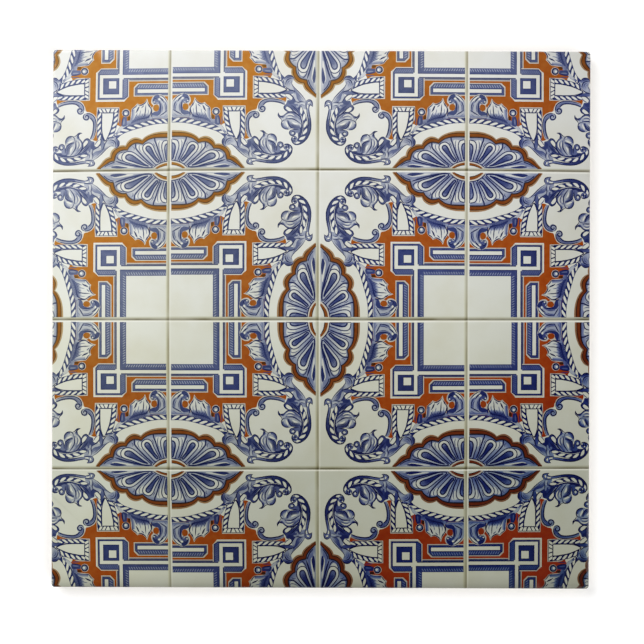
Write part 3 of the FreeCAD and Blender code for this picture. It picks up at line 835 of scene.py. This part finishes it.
def cut(corners, level):
    """Splits the triangles that cross level zero, and gives those below it and those above it."""
    above = level > 0
    count = above.sum(axis=1)
    low = [corners[count == 0]]
    high = [corners[count == 3]]
    for lone_count, lone, rest in ((1, high, low), (2, low, high)):
        picked = count == lone_count
        first = np.argmax(above[picked] == (lone_count == 1), axis=1)
        turn = (first[:, None] + np.arange(3)) % 3
        a, b, c = np.take_along_axis(corners[picked], turn[:, :, None], axis=1).transpose(1, 0, 2)
        at_a, at_b, at_c = np.take_along_axis(level[picked], turn, axis=1).T[:, :, None]
        p = a + (b - a) * at_a / (at_a - at_b)
        q = a + (c - a) * at_a / (at_a - at_c)
        lone.append(np.stack([a, p, q], axis=1))
        rest += [np.stack([p, b, c], axis=1), np.stack([p, c, q], axis=1)]
    return np.concatenate(low), np.concatenate(high)


def wrap(x, y):
    """Places of the flat print laid on the face and, past the flat of the face, round the arris."""
    flat = np.stack([x, y], axis=-1)
    straight = half_side - ARRIS - CORNER
    core = np.clip(flat, -straight, straight)
    distance = np.maximum(np.hypot(*np.moveaxis(flat - core, -1, 0)), 1e-9)
    turn = np.clip((distance - CORNER) / (ARRIS + SKIN), 0, math.pi / 2)
    reach = np.minimum(distance, CORNER) + (ARRIS + SKIN) * np.sin(turn)
    around = core + (flat - core) * (reach / distance)[..., None]
    return np.dstack([around, face_height - ARRIS + (ARRIS + SKIN) * np.cos(turn)])


def make_quarter(name, rows, columns):
    """A quarter of the skin, closed underneath, with its inks and joint distances on its corners."""
    corners = np.concatenate([lay(row, column) for row in rows for column in columns])
    right = 1 if columns[0] else -1
    up = -1 if rows[0] else 1
    wrap_length = (ARRIS + SKIN) * math.pi / 2
    for step in range(WRAP_STEPS + 1):
        line = half_side - ARRIS + wrap_length * step / WRAP_STEPS
        for side, axis in ((right, 0), (up, 1)):
            inside, outside = cut(corners, corners[:, :, axis] * side - line)
            corners = inside if step == WRAP_STEPS else np.concatenate([inside, outside])
    for turn in np.radians(CORNER_CUTS):
        straight = half_side - ARRIS - CORNER
        out_x = (corners[:, :, 0] * right - straight) * math.cos(turn)
        out_y = (corners[:, :, 1] * up - straight) * math.sin(turn)
        corners = cut(corners, out_x + out_y - CORNER - wrap_length)[0]

    flat = corners[:, :, :2].reshape(-1, 2)
    places = wrap(corners[:, :, 0], corners[:, :, 1]).reshape(-1, 3) * MM
    mesh = bpy.data.meshes.new(name)
    mesh.from_pydata(places.tolist(), [], np.arange(len(places)).reshape(-1, 3).tolist())
    for attribute, channels in (("ink", (2, 3, 3, 3)), ("joint_reach", (4, 5, 6, 7))):
        layer = mesh.attributes.new(attribute, "FLOAT_COLOR", "CORNER")
        layer.data.foreach_set("color", corners[:, :, channels].astype(np.float32).ravel())
    print_map = mesh.uv_layers.new(name="OFBake")
    span = flat.max(axis=0) - flat.min(axis=0)
    margin = 0.02
    spread = margin + (1 - 2 * margin) * (flat - flat.min(axis=0)) / span
    print_map.data.foreach_set("uv", spread.astype(np.float32).ravel())

    net = bmesh.new()
    net.from_mesh(mesh)
    bmesh.ops.remove_doubles(net, verts=net.verts, dist=WELD * MM)
    # A skirt goes down from the rim and is tucked into the body, where a flat underside closes it.
    rim = [edge for edge in net.edges if edge.is_boundary]
    inset = (half_side - TUCK) * MM
    tucked = {}
    hidden = []
    for edge in rim:
        loop = edge.link_loops[0]
        ends = (loop.link_loop_next.vert, loop.vert)
        for vert in ends:
            if vert not in tucked:
                x, y = [min(max(place, -inset), inset) for place in vert.co[:2]]
                tucked[vert] = net.verts.new((x, y, (face_height - ARRIS) * MM))
        hidden.append(net.faces.new((*ends, tucked[ends[1]], tucked[ends[0]])))
    under = bmesh.ops.holes_fill(net, edges=[edge for edge in net.edges if edge.is_boundary])["faces"]
    hidden += bmesh.ops.triangulate(net, faces=under)["faces"]
    bmesh.ops.recalc_face_normals(net, faces=net.faces)
    for face in hidden:
        for loop in face.loops:
            loop[net.loops.layers.uv["OFBake"]].uv = (margin / 4, margin / 4)
    net.to_mesh(mesh)
    net.free()
    mesh.polygons.foreach_set("use_smooth", np.ones(len(mesh.polygons), bool))
    mesh.set_sharp_from_angle(angle=SHARP_EDGE)
    mesh.materials.append(printed)
    piece = bpy.data.objects.new(name, mesh)
    bpy.context.scene.collection.objects.link(piece)
    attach(piece, "root")


# Printed glaze: cobalt and ochre colours sunk in a glossy off-white glaze. The colours are clear, so
# they darken each other and the glaze under them. The picture was lit from the top left, so the printed
# glaze is darker and the colours are denser towards its bottom right.
CLOUD_SIZE = 11
MOTTLE_SIZE = 1.6
RIPPLE_SIZE = 7
TO_CORNER = (0.46, -0.54)
GLAZE_TONES = (
    (0.0, "#BDBFAD"), (0.2, "#C3C6B6"), (0.31, "#CED0C1"), (0.44, "#DADCCE"), (0.5, "#E0E2D6"),
    (0.56, "#E4E6DC"), (0.75, "#E9EAE3"), (1.0, "#EFF0EC"),
)
HEAD_SHADE = ((0.03, "#FFFFFF"), (0.5, "#F9F9F9"), (0.76, "#F0F0F0"), (0.97, "#DADADA"))
FOOT_SHADE = (
    (0.06, "#FFFFFF"), (0.35, "#DCDCDC"), (0.5, "#D6D6D6"), (0.76, "#DADADA"), (0.97, "#CFCFCF"),
)
COBALT_TONES = (
    (0.2, "#5F6996"), (0.36, "#424B7A"), (0.5, "#2C3778"), (0.62, "#202969"), (0.78, "#081468"),
    (0.95, "#061460"),
)
OCHRE_TONES = (
    (0.05, "#CE8C40"), (0.21, "#CC8638"), (0.36, "#BA6E2C"), (0.5, "#B95C20"), (0.64, "#BB5418"),
    (0.78, "#B03A0E"), (0.92, "#B0340A"),
)
printed = bpy.data.materials.new("printed_glaze")
printed.use_nodes = True
tree = printed.node_tree
surface = tree.nodes["Principled BSDF"]
place = add(tree, "TexCoord").outputs["Object"]
sides = add(tree, "SeparateXYZ", {"Vector": place}).outputs
half = half_side * MM
upward = add(tree, "MapRange", {"Value": sides["Y"], "From Min": -half, "From Max": half})
rightward = add(tree, "MapRange", {"Value": sides["X"], "From Min": -half, "From Max": half})
glaze = add(tree, "ValToRGB", {"Fac": upward}, GLAZE_TONES)
dimming = add(tree, "Mix", {
    0: upward, 6: add(tree, "ValToRGB", {"Fac": rightward}, FOOT_SHADE),
    7: add(tree, "ValToRGB", {"Fac": rightward}, HEAD_SHADE),
}, data_type="RGBA")
colour = add(tree, "Mix", {0: 1.0, 6: glaze, 7: dimming}, data_type="RGBA", blend_type="MULTIPLY")
cloud = add(tree, "TexNoise", {"Vector": place, "Scale": 1 / (CLOUD_SIZE * MM), "Detail": 5.0})
clouded = add(tree, "MapRange", {"Value": cloud, "From Min": 0.4, "From Max": 0.7, "To Max": 0.6})
colour = add(tree, "Mix", {
    0: clouded, 6: colour, 7: linear("#F4F1E6"),
}, data_type="RGBA", blend_type="MULTIPLY")
to_corner = add(tree, "VectorMath", {
    0: place, 1: (TO_CORNER[0] / half, TO_CORNER[1] / half, 0),
}, operation="DOT_PRODUCT")
towards = add(tree, "MapRange", {"Value": to_corner, "From Min": -1.0, "From Max": 1.0})
mottle = add(tree, "TexNoise", {"Vector": place, "Scale": 1 / (MOTTLE_SIZE * MM), "Detail": 4.0})
uneven = add(tree, "MapRange", {
    "Value": mottle, "From Min": 0.3, "From Max": 0.7, "To Min": 0.92, "To Max": 1.08,
})
inks = add(tree, "SeparateColor", {"Color": add(tree, "Attribute", attribute_name="ink")}).outputs
for channel, tones in (("Red", COBALT_TONES), ("Green", OCHRE_TONES)):
    pigment = add(tree, "ValToRGB", {"Fac": towards}, tones)
    density = add(tree, "Math", {0: inks[channel], 1: uneven}, operation="MULTIPLY")
    stain = add(tree, "Gamma", {"Color": pigment, "Gamma": density})
    colour = add(tree, "Mix", {0: 1.0, 6: colour, 7: stain}, data_type="RGBA", blend_type="MULTIPLY")

# Printed joints: a thin dark line, with a warm shade on the side towards the light. The upright joints
# are paler, and all of them fade and darken along their run. A painted shade darkens the face towards
# its bottom edge, standing in for the shade on the tile's rounded lower edge.
JOINT_FADE = 1.0
WEAR_SIZE = 9
ROW_SHADED = (
    (0.0, "#7A7462"), (0.15, "#8A836E"), (0.34, "#B8B49F"), (0.62, "#E0DED1"), (0.9, "#FAFAF5"),
    (1.0, "#FFFFFF"),
)
ROW_LIT = ((0.0, "#7A7462"), (0.12, "#938C76"), (0.3, "#F2F0E8"), (0.45, "#FFFFFF"))
COLUMN_SHADED = (
    (0.0, "#B0AA96"), (0.2, "#C2BDA8"), (0.45, "#DCD8C6"), (0.76, "#F9F8EC"), (1.0, "#FFFFFF"),
)
COLUMN_LIT = ((0.0, "#B0AA96"), (0.12, "#BEB8A2"), (0.3, "#F2F0E8"), (0.45, "#FFFFFF"))
ROW_GLINT = ((0.2, "#000000"), (0.42, "#BCBAAE"), (0.55, "#8C8A80"), (0.85, "#000000"))
COLUMN_GLINT = ((0.2, "#000000"), (0.4, "#6E6C64"), (0.8, "#000000"))
# Painted shade for the bottom edge of the face, from the edge inwards.
PAINTED_RIM_SHADE = ((0.0, "#C4C4C4"), (0.12, "#DADADA"), (0.4, "#EFEFEF"), (1.0, "#FFFFFF"))
RIM_REACH = 4.0
along = add(tree, "TexNoise", {"Vector": place, "Scale": 1 / (WEAR_SIZE * MM), "Detail": 2.0})
worn = add(tree, "MapRange", {
    "Value": along, "From Min": 0.35, "From Max": 0.65, "To Min": 0.7, "To Max": 1.0,
})
joints = add(tree, "Attribute", attribute_name="joint_reach")
reach = add(tree, "SeparateColor", {"Color": joints}).outputs
for distance, blend, profile in (
    (reach["Red"], "MULTIPLY", COLUMN_LIT), (reach["Green"], "MULTIPLY", COLUMN_SHADED),
    (reach["Blue"], "MULTIPLY", ROW_LIT), (joints.outputs["Alpha"], "MULTIPLY", ROW_SHADED),
    (reach["Red"], "SCREEN", COLUMN_GLINT), (reach["Blue"], "SCREEN", ROW_GLINT),
):
    edge = add(tree, "ValToRGB", {
        "Fac": add(tree, "Math", {0: distance, 1: JOINT_FADE}, operation="DIVIDE"),
    }, profile)
    colour = add(tree, "Mix", {0: worn, 6: colour, 7: edge}, data_type="RGBA", blend_type=blend)
# Painted shade: the colour darkens over the last RIM_REACH mm towards the bottom edge of the face, in place
# of the shade on its rounded lower edge.
from_rim = add(tree, "MapRange", {
    "Value": sides["Y"], "From Min": -half, "From Max": RIM_REACH * MM - half,
})
rim = add(tree, "ValToRGB", {"Fac": from_rim}, PAINTED_RIM_SHADE)
colour = add(tree, "Mix", {0: 1.0, 6: colour, 7: rim}, data_type="RGBA", blend_type="MULTIPLY")
ripple = add(tree, "TexNoise", {"Vector": place, "Scale": 1 / (RIPPLE_SIZE * MM), "Detail": 1.0})
bump = add(tree, "Bump", {"Height": ripple, "Strength": 0.3, "Distance": 0.05 * MM})
feed(surface, {"Base Color": colour, "Roughness": 0.14, "IOR": 1.5, "Normal": bump})

half_places, half_inks = partition(drawing)
for row_name, rows in (("top", (0, 1)), ("bottom", (2, 3))):
    for column_name, columns in (("left", (0, 1)), ("right", (2, 3))):
        make_quarter(f"printed_glaze_{row_name}_{column_name}", rows, columns)


# Studio
# A plain white table under an even pale sky, two broad soft lamps, the stronger one from the top left,
# and a long lens straight above the tile. None of it is part of the tile.

# White paper: matt and even. It glows a little to the lens, which makes it white and leaves the shadow.
paper = bpy.data.materials.new("white_paper")
paper.use_nodes = True
tree = paper.node_tree
surface = tree.nodes["Principled BSDF"]
rays = add(tree, "LightPath").outputs
seen = add(tree, "Math", {0: rays["Is Camera Ray"], 1: rays["Is Glossy Ray"]}, operation="MAXIMUM")
feed(surface, {
    "Base Color": linear("#F4F4F4"), "Roughness": 0.9, "Specular IOR Level": 0.0,
    "Emission Color": (0.2, 0.2, 0.2, 1.0), "Emission Strength": seen,
})
sheet = bpy.data.meshes.new("table")
table_half = 1.5
corners = [(x * table_half, y * table_half, 0) for x, y in ((-1, -1), (1, -1), (1, 1), (-1, 1))]
sheet.from_pydata(corners, [], [(0, 1, 2, 3)])
sheet.materials.append(paper)
table = bpy.data.objects.new("table", sheet)
bpy.context.scene.collection.objects.link(table)

# The sky is pale near the table and dim overhead, so the glossy face doesn't mirror a white ceiling.
world = bpy.data.worlds.new("studio")
bpy.context.scene.world = world
world.use_nodes = True
tree = world.node_tree
direction = add(tree, "TexCoord").outputs["Generated"]
height = add(tree, "SeparateXYZ", {"Vector": direction}).outputs["Z"]
brightness = add(tree, "MapRange", {
    "Value": height, "From Min": 0.25, "From Max": 0.8, "To Min": 1.0, "To Max": 0.05,
})
feed(tree.nodes["Background"], {"Color": (1.0, 1.0, 1.0, 1.0), "Strength": brightness})

LAMP_SIZE = 0.8
for name, place, power in (("key", (-0.5, 0.5, 0.9), 7.9), ("fill", (0.55, -0.5, 0.9), 5.9)):
    lamp = bpy.data.lights.new(name, "AREA")
    lamp.shape = "DISK"
    lamp.size = LAMP_SIZE
    lamp.energy = power
    softbox = bpy.data.objects.new(name, lamp)
    softbox.location = place
    softbox.rotation_euler = (-softbox.location).to_track_quat("-Z", "Y").to_euler()
    bpy.context.scene.collection.objects.link(softbox)

FRAME_WIDTH = 182.1
IMAGE_SIDE = 644
PIXEL = FRAME_WIDTH / IMAGE_SIDE
OFF_MIDDLE = (1.0, -2.7)
CAMERA_TURN = math.radians(0.2)
lens = bpy.data.cameras.new("camera")
lens.lens = 120
lens.sensor_width = 36
camera = bpy.data.objects.new("camera", lens)
distance = FRAME_WIDTH * lens.lens / lens.sensor_width
off_x, off_y = OFF_MIDDLE
camera.location = (off_x * PIXEL * MM, off_y * PIXEL * MM, (face_height + distance) * MM)
camera.rotation_euler = (0, 0, CAMERA_TURN)
bpy.context.scene.collection.objects.link(camera)
bpy.context.scene.camera = camera
bpy.context.scene.view_settings.view_transform = "Standard"
